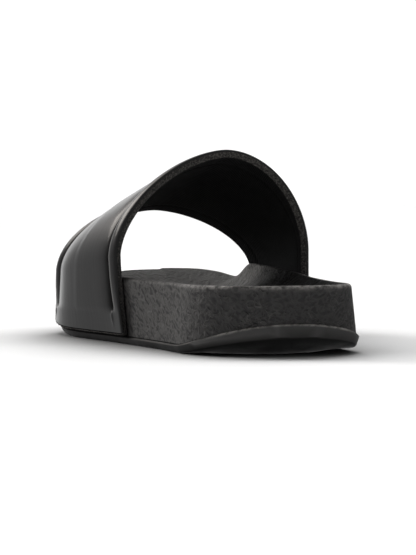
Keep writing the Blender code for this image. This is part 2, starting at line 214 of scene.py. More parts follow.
def ring(inset, height, swell_share=1.0):
    """The outline drawn in by inset, less a share of the rim's swell, at height(station, side)."""
    inset = inset - swell_share * rim_swell
    at = outline_station + inset * inward_y
    return np.stack([outline_x + inset * inward_x, at, height(at, outline_side)], axis=1)


def toward_spine(edge, share):
    """Places (x, station) between a ring and the sole's middle line, which share 1 reaches."""
    spine_end = SOLE_LENGTH - SPINE_END_FROM_TIP
    spine_at = np.clip(outline_station, SPINE_START, spine_end)
    spine_x = TIP_OFFSET * curve_through([(SPINE_START, 0.0), (spine_end, SPINE_END_SHARE)], spine_at)
    return mix(edge[:, 0], spine_x, share), mix(edge[:, 1], spine_at, share)


def in_scene(name, data):
    """A new object of the scene, made of some data."""
    made = bpy.data.objects.new(name, data)
    bpy.context.scene.collection.objects.link(made)
    return made


def mesh_piece(name, points, faces, uv=None, sharp_degrees=35, welded=True):
    """Makes a mesh object at the origin from points in the shoe's own frame."""
    data = bpy.data.meshes.new(name)
    placed = np.asarray(points).reshape(-1, 3) + SHIFT
    data.from_pydata(placed.tolist(), [], faces)
    if uv is not None:
        layer = data.uv_layers.new(name="run")
        corner = np.empty(len(data.loops), np.int32)
        data.loops.foreach_get("vertex_index", corner)
        layer.data.foreach_set("uv", np.asarray(uv, np.float32).reshape(-1, 2)[corner].ravel())
    mesh = bmesh.new()
    mesh.from_mesh(data)
    if welded:
        bmesh.ops.remove_doubles(mesh, verts=mesh.verts, dist=JOIN_WITHIN)
    bmesh.ops.recalc_face_normals(mesh, faces=mesh.faces)
    mesh.to_mesh(data)
    mesh.free()
    data.shade_smooth()
    data.set_sharp_from_angle(angle=math.radians(sharp_degrees))
    return in_scene(name, data)


def keep_on_points(piece, name, values):
    """Keeps one number for each point of a piece, for its finish to read."""
    kept = piece.data.attributes.new(name, "FLOAT", "POINT")
    kept.data.foreach_set("value", np.asarray(values, np.float32).ravel())


def strip_cap(first, count):
    """Faces that join the two sides of a ring with strips across the sole."""
    faces = []
    for i in range(count // 2):
        corners = (i, i + 1, (count - i - 1) % count, (count - i) % count)
        faces.append([first + corner for corner in dict.fromkeys(corners)])
    return faces


def stacked(rings, cap_last):
    """Points and faces of a stack of rings with a cap at the start, and at the end if asked."""
    count = len(rings[0])
    faces = strip_cap(0, count)
    for level in range(len(rings) - 1):
        for k in range(count):
            after = (k + 1) % count
            low, high = level * count, (level + 1) * count
            faces.append([low + k, low + after, high + after, high + k])
    if cap_last:
        faces += strip_cap((len(rings) - 1) * count, count)
    return np.concatenate(rings), faces


# %% [markdown]
# ## The footbed
#
# The footbed is one foam moulding: a drafted side wall, a rounded rim, a heel cup, an arch, and
# raised sides under the strap that end as a step ahead of it. A table of sections gives the rim on
# both sides and the depth of the middle, as shares of the rim's height and the cup's depth. How
# steeply the cup leaves the rim is a power, low where the real one has a soft arch support.

# %% Footbed sections
FOOTBED_COLUMNS = ("station", "lateral", "medial", "centre", "lateral_wall", "medial_wall")
FOOTBED_SECTIONS = [
    (0.00, 1.000, 1.000, 0.55, 4.0, 4.0),
    (0.14, 1.000, 1.000, 1.00, 4.0, 4.0),
    (0.30, 1.010, 1.030, 0.92, 3.8, 3.0),
    (0.42, 1.034, 1.088, 0.74, 3.6, 2.8),
    (0.55, 1.058, 1.103, 0.88, 3.8, 3.2),
    (0.70, 1.115, 1.130, 1.12, 4.4, 4.6),
    (0.765, 1.140, 1.150, 1.08, 4.8, 5.2),
    (0.778, 1.125, 1.130, 1.06, 4.6, 5.0),
    (0.828, 0.940, 0.932, 0.97, 3.8, 4.0),
    (0.840, 0.925, 0.915, 0.95, 3.6, 3.8),
    (0.910, 0.928, 0.990, 0.64, 3.0, 3.0),
    (0.965, 0.978, 1.028, 0.30, 2.6, 2.6),
    (1.000, 1.032, 1.032, 0.10, 2.6, 2.6),
]
SIDE_RINGS = 16
RIM_ANGLES = [12, 24, 36, 48, 60, 72, 84]
RIM_FLAT_SHARES = [0.25, 0.6, 1.0]
CUP_RINGS = 33


def footbed_value(column, station):
    """A column of the table at a station."""
    i = FOOTBED_COLUMNS.index(column)
    return curve_through([(row[0] * SOLE_LENGTH, row[i]) for row in FOOTBED_SECTIONS], station)


def rim_height(station, side):
    lateral, medial = footbed_value("lateral", station), footbed_value("medial", station)
    return RIM_HEIGHT * np.where(side < 0, lateral, medial)


def footbed_rings():
    """Rings up the side, over the rim, and down into the cup."""
    rings = []
    for share in np.linspace(0.0, 1.0, SIDE_RINGS):
        def side_height(at, side, share=share):
            return mix(outsole_top(at, side) + PIECE_GAP, rim_height(at, side) - RIM_ROUND, share)
        rings.append(ring(mix(FOOTBED_SETBACK, RIM_SETBACK, share), side_height, share))
    for angle in np.radians(RIM_ANGLES):
        inset = RIM_SETBACK + RIM_ROUND * (1 - math.cos(angle))
        drop = RIM_ROUND * (1 - math.sin(angle))
        rings.append(ring(inset, lambda at, side, drop=drop: rim_height(at, side) - drop))
    for share in RIM_FLAT_SHARES:
        inset = RIM_SETBACK + RIM_ROUND + RIM_FLAT * share
        drop = RIM_FLAT_DROP * share * share
        rings.append(ring(inset, lambda at, side, drop=drop: rim_height(at, side) - drop))
    brow = rings[-1]
    for share in np.linspace(0.0, 1.0, CUP_RINGS + 1)[1:] ** CUP_CROWDING:
        x, at = toward_spine(brow, share)
        power = np.where(outline_side < 0, footbed_value("lateral_wall", brow[:, 1]),
                         footbed_value("medial_wall", brow[:, 1]))
        centre = RIM_HEIGHT - CUP_DEPTH * footbed_value("centre", at)
        rings.append(np.stack([x, at, centre + (brow[:, 2] - centre) * (1 - share) ** power], axis=1))
    return rings


sole_rings = footbed_rings()
footbed_points, footbed_faces = stacked(sole_rings, cap_last=False)
footbed = mesh_piece("footbed_moulding", footbed_points, footbed_faces, welded=False)
print("footbed faces:", len(footbed.data.polygons))

# %% [markdown]
# The rim is what a heel and a floor rub on, so it is lighter there: partly scuffs, partly a painted
# highlight on its rounding. How light a point is made depends on its ring: most on the rounded rim,
# and fading over a few rings on both sides.

# %% Scuffs and a painted highlight on the rim
# Scuffs and a painted highlight, by ring, lightest on the rounded rim.
RIM_SCUFF_AND_HIGHLIGHT = [0.1, 0.3, 0.6, 0.9, 1.0, 1.0, 1.0, 0.9, 0.7, 0.5, 0.3, 0.1]

ring_scuff_and_highlight = np.zeros(len(sole_rings))
ring_scuff_and_highlight[SIDE_RINGS - 1:SIDE_RINGS - 1 + len(RIM_SCUFF_AND_HIGHLIGHT)] = RIM_SCUFF_AND_HIGHLIGHT
keep_on_points(footbed, "rim_wear_and_highlight", np.repeat(ring_scuff_and_highlight, len(sole_rings[0])))
print("scuffed rings:", int((ring_scuff_and_highlight > 0).sum()))

# %% [markdown]
# ## The outsole
#
# The outsole is a thin rubber moulding whose lip stands out around the footbed. Its solid already
# has the wavy tread, so the piece is a copy of that solid with its triangles joined, the flat ones
# merged, and its shading smooth up to the sharp edges.

# %% Outsole
SOLID_JOIN_WITHIN = 2e-6
FLAT_WITHIN = math.radians(0.5)


def welded_copy(node, name, sharp_degrees):
    """A copy of a solid with its loose triangles joined, shaded smooth."""
    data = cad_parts[node].data.copy()
    data.name = name
    mesh = bmesh.new()
    mesh.from_mesh(data)
    bmesh.ops.remove_doubles(mesh, verts=mesh.verts, dist=SOLID_JOIN_WITHIN)
    bmesh.ops.dissolve_limit(mesh, angle_limit=FLAT_WITHIN, verts=mesh.verts, edges=mesh.edges)
    mesh.to_mesh(data)
    mesh.free()
    data.materials.clear()
    data.shade_smooth()
    data.set_sharp_from_angle(angle=math.radians(sharp_degrees))
    return in_scene(name, data)


outsole = welded_copy("outsole", "outsole_moulding", sharp_degrees=35)
print("outsole faces:", len(outsole.data.polygons))

# %% [markdown]
# ## The strap's form
#
# The strap is one wide band bent over the foot. Three sections give its inner face at the rear
# edge, halfway and at the front edge, one row each. Everything else is laid on that face: a place
# on the strap is how far along it lies from the lateral end, how far from the rear edge, and how
# high above the inner face. Cover, edge and lining then stay the same distance apart everywhere.

# %% Strap sections and sizes
STRAP_GAP = 0.0005
STRAP_WALL = 0.0034
STRAP_END_WALL = 0.0030
STRAP_END_TAPER = 0.014
STRAP_HEIGHT = 0.0817
STRAP_SWEEP = 1.5
STRAP_LEG = 0.36
STRAP_COLUMNS = ("lateral_foot", "top", "medial_foot", "height", "peak", "lateral_spring",
                 "medial_spring", "lateral_flare", "medial_flare", "lateral_full", "medial_full")
STRAP_SECTIONS = [
    (0.400, 0.436, 0.434, 1.004, 0.062, 0.471, 0.497, 0.55, 0.00, 1.64, 1.88),
    (0.611, 0.582, 0.634, 0.849, -0.014, 0.410, 0.420, 0.30, 0.10, 1.69, 1.72),
    (0.822, 0.729, 0.834, 0.711, -0.080, 0.356, 0.350, -0.50, -0.48, 1.80, 1.60),
]
NEARBY = 0.004


def strap_row(place):
    """The section values at places between the rear edge (0) and the front edge (1)."""
    weights = ((1 - place) * (1 - 2 * place), 4 * place * (1 - place), place * (2 * place - 1))
    return {column: sum(weight * value for weight, value in zip(weights, values))
            for column, values in zip(STRAP_COLUMNS, zip(*STRAP_SECTIONS))}


def strap_inner(along, place):
    """Points of the inner face. Along runs from the lateral end (0) to the medial one (1)."""
    along, place = np.broadcast_arrays(along, place)
    row = strap_row(place)
    lateral = along <= 0.5
    side = np.where(lateral, LATERAL, MEDIAL)

    def of_side(column):
        return np.where(lateral, row["lateral_" + column], row["medial_" + column])

    up = 2 * np.minimum(along, 1 - along)
    foot_station = of_side("foot") * SOLE_LENGTH
    foot_height = outsole_top(foot_station) + PIECE_GAP
    spring_height = of_side("spring") * STRAP_HEIGHT
    top_height = row["height"] * STRAP_HEIGHT
    rise = np.clip(up / STRAP_LEG, 0, 1)
    angle = np.clip((up - STRAP_LEG) / (1 - STRAP_LEG), 0, 1) * math.pi / 2
    full = of_side("full")
    in_leg = up < STRAP_LEG
    height = np.where(in_leg, mix(foot_height, spring_height, rise),
                      mix(spring_height, top_height, np.sin(angle) ** (2 / full)))
    lean = np.where(in_leg, np.sin(rise * math.pi / 2), 1.0)
    arch = np.where(in_leg, 0.0, 1 - np.cos(angle) ** (2 / full))
    climbed = np.clip((height - foot_height) / (top_height - foot_height), 0, 1)
    station = mix(foot_station, row["top"] * SOLE_LENGTH, climbed ** STRAP_SWEEP)
    foot_x = edge_x(station, side) - side * (FOOTBED_SETBACK - STRAP_GAP)
    side_x = foot_x + side * STRAP_WALL * of_side("flare") * lean
    return np.stack([mix(side_x, row["peak"] * BALL_WIDTH, arch), station, height], axis=-1)


def strap_outward(along, place):
    """Directions through the wall, from the inner face outwards, level at both ends."""
    along, place = np.broadcast_arrays(along, place)
    ahead, behind = np.minimum(1.0, place + NEARBY), np.maximum(0.0, place - NEARBY)
    further, nearer = np.minimum(1.0, along + NEARBY), np.maximum(0.0, along - NEARBY)
    across = strap_inner(along, ahead) - strap_inner(along, behind)
    around = strap_inner(further, place) - strap_inner(nearer, place)
    outward = np.cross(around, across)
    outward[..., 2] *= np.clip(np.minimum(along, 1 - along) / NEARBY, 0, 1)
    return outward / np.linalg.norm(outward, axis=-1, keepdims=True)


RUN_STEPS = 1200
run = np.linspace(0, 1, RUN_STEPS + 1)
run_points = strap_inner(run, np.full_like(run, 0.5))
run_length = np.concatenate([[0], np.cumsum(np.linalg.norm(np.diff(run_points, axis=0), axis=1))])
STRAP_LENGTH = run_length[-1]


def along_at(length):
    """The along value at a length from the lateral end, measured down the strap's middle."""
    return np.interp(length, run_length, run)


def strap_across(along):
    """The way from the rear edge to the front edge."""
    return strap_inner(along, np.full_like(along, 1.0)) - strap_inner(along, np.zeros_like(along))


def strap_width(along):
    return np.linalg.norm(strap_across(along), axis=-1)


print("strap length", round(float(STRAP_LENGTH), 4))
print("strap width", strap_width(np.array([0.0, 0.5, 1.0])).round(4))

# %% [markdown]
# ## The padded cover
#
# The cover is coated fabric over foam, pinched to the backing along two welded grooves that run
# beside the edges and stop short of the sole in a small pucker. A cloth simulation would give soft
# random folds, but a welded cover is tight and repeats exactly, so its height is a rule. From the
# edge it rises over a bead, drops into the groove, and rises again over the panel. The face also
# sinks a little from the edges inwards, most of all around the front groove, which pulls it down.

# %% Cover heights
COVER_THICKNESS = 0.0008
COVER_END_GAP = 0.0014
COVER_EDGE_ROUND = 0.0016
COVER_EDGE_DROP = 0.0004
REAR_SINK, FRONT_SINK = 0.0009, 0.0027
COVER_LEAST_HEIGHT = 0.00125
GROOVE_INSET = 0.0102
GROOVE_DEPTH = 0.0022
GROOVE_SPREAD = 0.0010
GROOVE_START = 0.0085
GROOVE_FADE = 0.0035
REAR_BEAD_SWELL, FRONT_BEAD_SWELL = 0.0013, 0.0017
REAR_BEAD_CREST, FRONT_BEAD_CREST = 0.55, 0.5
BEAD_FADE = 0.026
MEDIAL_BEAD_SHARE = 0.4
MEDIAL_BEAD_FROM, MEDIAL_BEAD_REACH = 0.4, 0.25
REAR_BEAD_FULLNESS, FRONT_BEAD_FULLNESS = 1.7, 2.0
PANEL_SWELL = 0.0015
REAR_PANEL_RAMP, FRONT_PANEL_RAMP = 0.0055, 0.0012
FRONT_SINK_LENGTH = 0.022
FRONT_INSET_MORE = 0.006
FRONT_INSET_LENGTH = 0.055
PUCKER_HEIGHT = 0.0004
PUCKER_LENGTH, PUCKER_WIDTH = 0.0024, 0.0011
WAVE_HEIGHT = 0.00010
WAVE_SIZE = 0.028
STRAP_STEPS = 260


def soft_waves(points, size):
    """Gentle unevenness of foam, one value for each point, between about -1 and 1."""
    flat = points.reshape(-1, 3) / size
    return np.array([noise.noise(Vector(p)) for p in flat.tolist()]).reshape(points.shape[:-1])


def front_inset(from_end):
    """The front groove's distance from the front edge, wider near the sole."""
    return GROOVE_INSET + FRONT_INSET_MORE * (1 - ease(from_end / FRONT_INSET_LENGTH))


def cover_height(distance, width, from_end, along):
    """Height of the cover's outer face above the strap's inner face.

    Distance is from the rear edge, from_end down to the nearer end of the strap.
    """
    at_rear = distance < width / 2
    from_edge = np.where(at_rear, distance, width - distance)
    inset = np.where(at_rear, GROOVE_INSET, front_inset(from_end))
    off_groove = from_edge - inset
    on_panel = np.clip(off_groove, 0, None)
    wall = mix(STRAP_END_WALL, STRAP_WALL, ease(from_end / STRAP_END_TAPER))
    rounding = COVER_EDGE_DROP * (1 - squircle(1 - from_edge / COVER_EDGE_ROUND, 2))
    welded = ease((from_end - GROOVE_START) / GROOVE_FADE)
    groove = GROOVE_DEPTH * np.exp(-np.abs(off_groove) / GROOVE_SPREAD)
    toward_groove = np.clip(from_edge / inset, 0, 1)
    crest = np.where(at_rear, REAR_BEAD_CREST, FRONT_BEAD_CREST)
    past_crest = (toward_groove - crest) / np.where(toward_groove < crest, crest, 1 - crest)
    fullness = np.where(at_rear, REAR_BEAD_FULLNESS, FRONT_BEAD_FULLNESS)
    bead = np.where(at_rear, REAR_BEAD_SWELL, FRONT_BEAD_SWELL) * (1 - np.abs(past_crest) ** fullness)
    bead = bead * ease(from_end / BEAD_FADE)
    bead = bead * mix(1.0, MEDIAL_BEAD_SHARE, ease((along - MEDIAL_BEAD_FROM) / MEDIAL_BEAD_REACH))
    panel_ramp = np.where(at_rear, REAR_PANEL_RAMP, FRONT_PANEL_RAMP)
    panel = PANEL_SWELL * (1 - np.exp(-on_panel / panel_ramp))
    at_front = np.where(at_rear, 0.0, np.exp(-on_panel / FRONT_SINK_LENGTH))
    sink = mix(REAR_SINK, FRONT_SINK, at_front) * toward_groove
    below_end = (from_end - GROOVE_START + PUCKER_LENGTH / 2) / PUCKER_LENGTH
    pucker = PUCKER_HEIGHT * np.exp(-below_end ** 2 - (off_groove / PUCKER_WIDTH) ** 2)
    height = wall - rounding + welded * (bead + panel - sink - groove) + pucker
    return np.maximum(height, COVER_LEAST_HEIGHT)


def strap_grid(end_gap):
    """Values down the strap, one row each: along, width, and the distance to the nearer end."""
    lengths = np.linspace(end_gap, STRAP_LENGTH - end_gap, STRAP_STEPS + 1)
    along = along_at(lengths)
    from_end = np.minimum(lengths, STRAP_LENGTH - lengths)
    return along[:, None], strap_width(along)[:, None], from_end[:, None]


def run_uv(distance):
    """Texture places: the length down the strap, and the distance across it."""
    lengths = np.linspace(0, STRAP_LENGTH, STRAP_STEPS + 1)[:, None]
    return np.stack(np.broadcast_arrays(lengths, distance), axis=-1)


def there_and_back(out, back):
    """Rows that run out over one face and back over the other."""
    return np.concatenate([out, back[:, ::-1]], axis=1)


def laid_on_strap(along, width, distance, height):
    """Points at a distance from the rear edge and a height above the inner face."""
    place = np.clip(distance / width, 0, 1)
    return strap_inner(along, place) + strap_outward(along, place) * height[..., None]


def band_piece(name, points, uv, welded=True):
    """A closed body from a grid whose rows are closed loops round the band's section."""
    rows, count = points.shape[:2]
    faces = []
    for i in range(rows - 1):
        for j in range(count):
            after = (j + 1) % count
            low, high = i * count, (i + 1) * count
            faces.append([low + j, low + after, high + after, high + j])
    for first in (0, (rows - 1) * count):
        for j in range(count // 2 - 1):
            faces.append([first + j, first + j + 1, first + count - 2 - j, first + count - 1 - j])
    return mesh_piece(name, points, faces, uv=uv, sharp_degrees=40, welded=welded)


# %% [markdown]
# The grooves and the edge need points a tenth of a millimetre apart, and the panel between them
# hardly any. So the columns of the grid are close together where the height bends, and wide apart
# elsewhere. That keeps the cover light and its grooves crisp.

# %% Cover
FROM_GROOVE = np.array([0, .08, .18, .3, .44, .62, .85, 1.15, 1.55, 2.1, 2.8, 3.7, 4.8]) / 1000
FROM_EDGE = np.array([0, .06, .16, .32, .55, .85, 1.2, 1.6, 2.2, 3.0, 3.9]) / 1000
PANEL_COLUMNS = 14

by_groove = np.concatenate([GROOVE_INSET - FROM_GROOVE, GROOVE_INSET + FROM_GROOVE])
half_columns = np.unique(np.concatenate([FROM_EDGE, by_groove]))
panel_shares = np.linspace(0, 1, PANEL_COLUMNS + 1)[1:]


def columns_from(width, inset):
    """Distances from one edge to the middle, close together at the edge and the groove."""
    near = half_columns[None, :] * inset / GROOVE_INSET
    near = np.broadcast_to(near, (len(width), len(half_columns)))
    return np.concatenate([near, mix(near[:, -1:], width / 2, panel_shares[None, :])], axis=1)


def across_columns(width, from_end):
    """Distances from the rear edge for every point across the strap."""
    rear = columns_from(width, GROOVE_INSET)
    front = columns_from(width, front_inset(from_end))
    return np.concatenate([rear, (width - front[:, :-1])[:, ::-1]], axis=1)


along, width, from_end = strap_grid(COVER_END_GAP)
distance = across_columns(width, from_end)
outer_height = cover_height(distance, width, from_end, along)
outer = laid_on_strap(along, width, distance, outer_height)
outer_height = outer_height + WAVE_HEIGHT * soft_waves(outer, WAVE_SIZE)
outer = laid_on_strap(along, width, distance, outer_height)
inner = laid_on_strap(along, width, distance, outer_height - COVER_THICKNESS)
cover_uv = there_and_back(run_uv(distance), run_uv(distance))
strap_cover = band_piece("strap_cover", there_and_back(outer, inner), cover_uv, welded=False)
print("cover faces:", len(strap_cover.data.polygons))

# %% [markdown]
# A welded groove is narrow and sees little light, so its gloss is taken away as painted shade. The
# rear bead is made lighter along a ridge, a painted highlight. Both are numbers kept on the points,
# which the finish reads.

# %% Painted shade in the grooves and a painted highlight on a ridge
DULL_BEHIND, DULL_AHEAD = 0.0004, 0.0034
RIDGE_BEHIND, RIDGE_REACH = 0.0040, 0.0009

ahead_of_rear = distance - GROOVE_INSET
ahead_of_front = distance - (width - front_inset(from_end))


def dullness(ahead):
    """How dull a groove makes a point, from how far ahead of the groove it lies."""
    return np.exp(-np.abs(ahead) / np.where(ahead < 0, DULL_BEHIND, DULL_AHEAD))


welded = ease((from_end - GROOVE_START) / GROOVE_FADE)
# Painted shade: the grooves lose their gloss.
dull = np.maximum(dullness(ahead_of_rear), dullness(ahead_of_front)) * welded
# A painted highlight along the rear bead's ridge, just behind the groove.
ridge = np.exp(-((ahead_of_rear + RIDGE_BEHIND) / RIDGE_REACH) ** 2) * welded
keep_on_points(strap_cover, "weld_shade", there_and_back(dull, dull))
keep_on_points(strap_cover, "weld_ridge_highlight", there_and_back(ridge, ridge))
print("dullest:", round(float(dull.max()), 2), "most rubbed:", round(float(ridge.max()), 2))

# %% [markdown]
# ## Edge binding and lining
#
# Along both edges a band of textile closes the sandwich. It turns in a little, so from behind it
# shows as a flecked stripe round the opening. The lining is the inner face: knitted fabric on foam,
# with a shallow line where the welds of the cover pull it in, and cut slightly ragged where it runs
# down to the sole below the cover.

# %% Binding
REAR_REACH, FRONT_REACH = 0.0013, 0.0004
BINDING_THICKNESS = 0.0005
BINDING_BULGE = 0.00022
LINING_GAP = 0.00005
BINDING_POINTS = 9
BINDING_END_GAP = 0.0004
BINDING_INNER_HEIGHT = 0.6 * BINDING_THICKNESS
BINDING_TUCK = 0.3 * COVER_THICKNESS


def binding_section(edge_height, reach):
    """Distances and heights round one binding's section, outer side first."""
    share = np.linspace(0, 1, BINDING_POINTS)[None, :]
    bulge = BINDING_BULGE * np.sin(share * math.pi)
    slope = np.hypot(reach, edge_height)
    outer_d = mix(0.0, reach, share) - bulge * edge_height / slope
    outer_h = mix(edge_height, 0.0, share) - bulge * reach / slope
    inner_d = mix(BINDING_THICKNESS, reach + BINDING_THICKNESS, share)
    inner_h = mix(edge_height, BINDING_INNER_HEIGHT, share)
    count = (len(edge_height), BINDING_POINTS)
    distance = there_and_back(np.broadcast_to(outer_d, count), np.broadcast_to(inner_d, count))
    return distance, there_and_back(outer_h, inner_h)


def make_binding(name, reach, from_rear):
    """The textile band along one edge, which leans inwards by its reach."""
    along, width, from_end = strap_grid(BINDING_END_GAP)
    edge_height = cover_height(np.zeros_like(width), width, from_end, along) - BINDING_TUCK
    distance, height = binding_section(edge_height, reach)
    place = distance / width
    if not from_rear:
        place = 1 - place
    inside = np.clip(place, 0, 1)
    points = strap_inner(along, inside) + strap_outward(along, inside) * height[..., None]
    points = points + strap_across(along) * (place - inside)[..., None]
    turn = np.linspace(0, 2 * STRAP_WALL, points.shape[1])[None, :]
    return band_piece(name, points, run_uv(turn))


binding_rear = make_binding("strap_binding_rear", REAR_REACH, True)
binding_front = make_binding("strap_binding_front", FRONT_REACH, False)

# %% Lining
LINING_COLUMNS = 72
LINING_LEAST_HEIGHT = 0.0003
LINING_BACK_INSET = 1.4 * BINDING_THICKNESS
WELD_LINE_DEPTH = 0.00035
WELD_LINE_WIDTH = 0.0009
RAG_DEPTH = 0.0005
RAG_SIZE = 0.0011
RAG_RAISE = 0.4

along, width, from_end = strap_grid(0.0)
share = np.linspace(0, 1, LINING_COLUMNS)[None, :]
inner_distance = mix(REAR_REACH, width - FRONT_REACH, share)
to_edge = np.minimum(inner_distance, width - inner_distance)
inner_height = WELD_LINE_DEPTH * np.exp(-((to_edge - GROOVE_INSET) / WELD_LINE_WIDTH) ** 2)
back_distance = mix(LINING_BACK_INSET, width - LINING_BACK_INSET, share)
under_cover = COVER_THICKNESS + LINING_GAP + WAVE_HEIGHT
back_height = cover_height(back_distance, width, from_end, along) - under_cover
face = laid_on_strap(along, width, inner_distance, inner_height)
back = laid_on_strap(along, width, back_distance, np.maximum(back_height, LINING_LEAST_HEIGHT))
lining_points = there_and_back(face, back)
for end in (0, -1):
    lining_points[end, :, 2] += RAG_DEPTH * (soft_waves(lining_points[end], RAG_SIZE) + RAG_RAISE)
lining_uv = there_and_back(run_uv(inner_distance), run_uv(inner_distance))
strap_lining = band_piece("strap_lining", lining_points, lining_uv)
print("lining faces:", len(strap_lining.data.polygons))

# %% [markdown]
# ## Frayed backing at the sole
#
# The cover stops a little short of the sole, and the cut backing frays in the gap. It could be one
# ragged strip, or threads laid one by one. Threads repeat along a path, so a node tree lays them:
# it walks the path at a spacing, turns each thread a little, and joins them into one mesh. Every
# node, here and in the finishes, is made by one helper.

# %% One helper for every node


def add_node(tree, kind, links=None, **settings):
    """A new node with its settings. Links gives each socket a constant, or what another node makes."""
    made = tree.nodes.new(kind)
    for key, value in settings.items():
        setattr(made, key, value)
    for socket, value in (links or {}).items():
        if isinstance(value, bpy.types.NodeSocket):
            tree.links.new(value, made.inputs[socket])
        else:
            made.inputs[socket].default_value = value
    return made


# %% Frayed edge tree
THREAD_SIDES = 5


def frayed_edge_tree():
    """A node tree that lays short threads along the edges of a mesh path."""
    tree = bpy.data.node_groups.new("frayed_edge", "GeometryNodeTree")
    tree.interface.new_socket("Path", in_out="INPUT", socket_type="NodeSocketGeometry")
    for name, kind in (("Spacing", "Float"), ("Length", "Float"), ("Radius", "Float"),
                       ("Turn", "Float"), ("Seed", "Int"), ("Finish", "Material")):
        tree.interface.new_socket(name, in_out="INPUT", socket_type="NodeSocket" + kind)
    tree.interface.new_socket("Threads", in_out="OUTPUT", socket_type="NodeSocketGeometry")
    asked = tree.nodes.new("NodeGroupInput").outputs

    def made_by(kind, links=None, **settings):
        return add_node(tree, kind, links, **settings).outputs[0]

    path = made_by("GeometryNodeMeshToCurve", {"Mesh": asked["Path"]})
    spaced = made_by("GeometryNodeResampleCurve", {"Curve": path, "Length": asked["Spacing"]},
                     mode="LENGTH")
    half = made_by("ShaderNodeMath", {0: asked["Length"], 1: 0.5}, operation="MULTIPLY")
    back = made_by("ShaderNodeMath", {0: asked["Length"], 1: -0.5}, operation="MULTIPLY")
    start = made_by("ShaderNodeCombineXYZ", {"X": back})
    end = made_by("ShaderNodeCombineXYZ", {"X": half})
    line = made_by("GeometryNodeCurvePrimitiveLine", {"Start": start, "End": end})
    section = made_by("GeometryNodeCurvePrimitiveCircle",
                      {"Resolution": THREAD_SIDES, "Radius": asked["Radius"]})
    thread = made_by("GeometryNodeCurveToMesh",
                     {"Curve": line, "Profile Curve": section, "Fill Caps": True})
    tangent = made_by("GeometryNodeInputTangent")
    along_path = made_by("FunctionNodeAlignRotationToVector", {"Vector": tangent}, axis="X")
    most = made_by("ShaderNodeCombineXYZ", {axis: asked["Turn"] for axis in "XYZ"})
    least = made_by("ShaderNodeVectorMath", {0: most, "Scale": -1.0}, operation="SCALE")
    turn = made_by("FunctionNodeRandomValue", {0: least, 1: most, "Seed": asked["Seed"]},
                   data_type="FLOAT_VECTOR")
    turned = made_by("FunctionNodeRotateRotation", {"Rotation": along_path, "Rotate By": turn},
                     rotation_space="LOCAL")
    laid = made_by("GeometryNodeInstanceOnPoints",
                   {"Points": spaced, "Instance": thread, "Rotation": turned})
    joined = made_by("GeometryNodeRealizeInstances", {"Geometry": laid})
    finished = made_by("GeometryNodeSetMaterial", {"Geometry": joined, "Material": asked["Finish"]})
    add_node(tree, "NodeGroupOutput", {0: finished})
    return tree


# %% Lay the threads
THREAD_SPACING = 0.0010
THREAD_LENGTH = 0.0021
THREAD_RADIUS = 0.00011
THREAD_TURN = 0.34
THREAD_SEED = 7
THREAD_FROM_END = 0.0007
THREAD_FROM_EDGE = 0.0009
PATH_POINTS = 80


def fray_path():
    """Two lines of points down in the gap, one at each end of the strap."""
    lengths = np.array([THREAD_FROM_END, STRAP_LENGTH - THREAD_FROM_END])
    along = along_at(lengths)[:, None]
    width = strap_width(along)
    share = np.linspace(0, 1, PATH_POINTS)[None, :]
    distance = mix(THREAD_FROM_EDGE, width - THREAD_FROM_EDGE, share)
    from_end = np.full_like(width, THREAD_FROM_END)
    height = cover_height(distance, width, from_end, along) - COVER_THICKNESS / 2
    return laid_on_strap(along, width, distance, height)


def grown(name, path_points, tree, finish_material):
    """A plain mesh object made by a node tree from rows of path points."""
    data = bpy.data.meshes.new(name)
    rows, count = path_points.shape[:2]
    edges = [(row * count + i, row * count + i + 1) for row in range(rows) for i in range(count - 1)]
    data.from_pydata((path_points.reshape(-1, 3) + SHIFT).tolist(), edges, [])
    made = in_scene(name, data)
    modifier = made.modifiers.new("threads", "NODES")
    modifier.node_group = tree
    values = {"Spacing": THREAD_SPACING, "Length": THREAD_LENGTH, "Radius": THREAD_RADIUS,
              "Turn": THREAD_TURN, "Seed": THREAD_SEED, "Finish": finish_material}
    for item in tree.interface.items_tree:
        if item.in_out == "INPUT" and item.name in values:
            modifier[item.identifier] = values[item.name]
    evaluated = made.evaluated_get(bpy.context.evaluated_depsgraph_get())
    made.data = bpy.data.meshes.new_from_object(evaluated)
    made.modifiers.clear()
    return made


# %% [markdown]
# ## Finishes
#
# All of the shoe is black, so what tells the materials apart is gloss and grain. The foam has a
# wrinkled leather grain pressed into it, the rubber is smooth and matt, the cover is satin, and the
# textiles scatter light softly. Patterns read object coordinates, or the run of the strap where the
# weave follows it.

# %% A finish is a small node tree


def opaque(tone):
    """A tone, given as one grey or as three numbers, as a full colour."""
    return (*np.broadcast_to(tone, 3).tolist(), 1.0)


